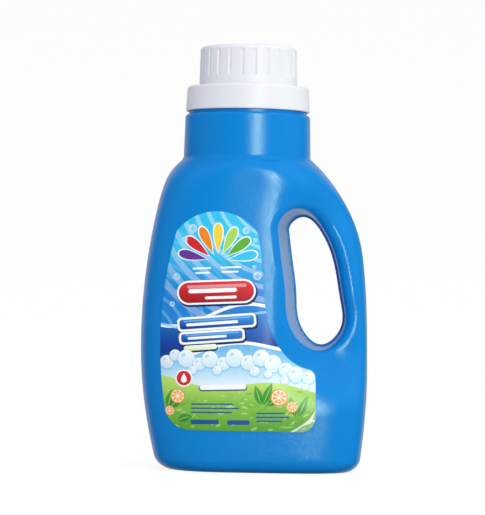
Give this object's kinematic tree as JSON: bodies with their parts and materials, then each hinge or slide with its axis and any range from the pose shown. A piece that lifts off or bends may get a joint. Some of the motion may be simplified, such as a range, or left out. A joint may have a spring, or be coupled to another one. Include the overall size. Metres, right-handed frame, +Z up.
{
  "type": "laundry detergent bottle",
  "caption": "Blow moulded household detergent bottle with a through grip on its right side, a drain-back pour spout, a fluted measuring cap and a film label.",
  "frame": {"origin": "middle of the base, on the surface that the bottle stands on", "axes": "+Z up, +X towards the grip, -Y out of the front label"},
  "size_m": [0.1248, 0.0835, 0.2322],
  "materials": {
    "bottle_plastic": "blue HDPE, satin gloss with a fine grain",
    "insert_plastic": "blue LDPE, satin",
    "cap_plastic": "white polypropylene, satin gloss",
    "label_film": "printed gloss film in blue, cyan, white and green"
  },
  "bodies": {
    "bottle_body": {"bottle": "bottle_plastic", "pour_spout_insert": "insert_plastic", "front_label": "label_film"},
    "cap_body": {"measuring_cap": "cap_plastic"}
  },
  "joints": [
    {"name": "cap_lift", "type": "slide", "parent": "bottle_body", "child": "cap_body", "axis": [0, 0, 1], "range_m": [0, 0.045]}
  ]
}
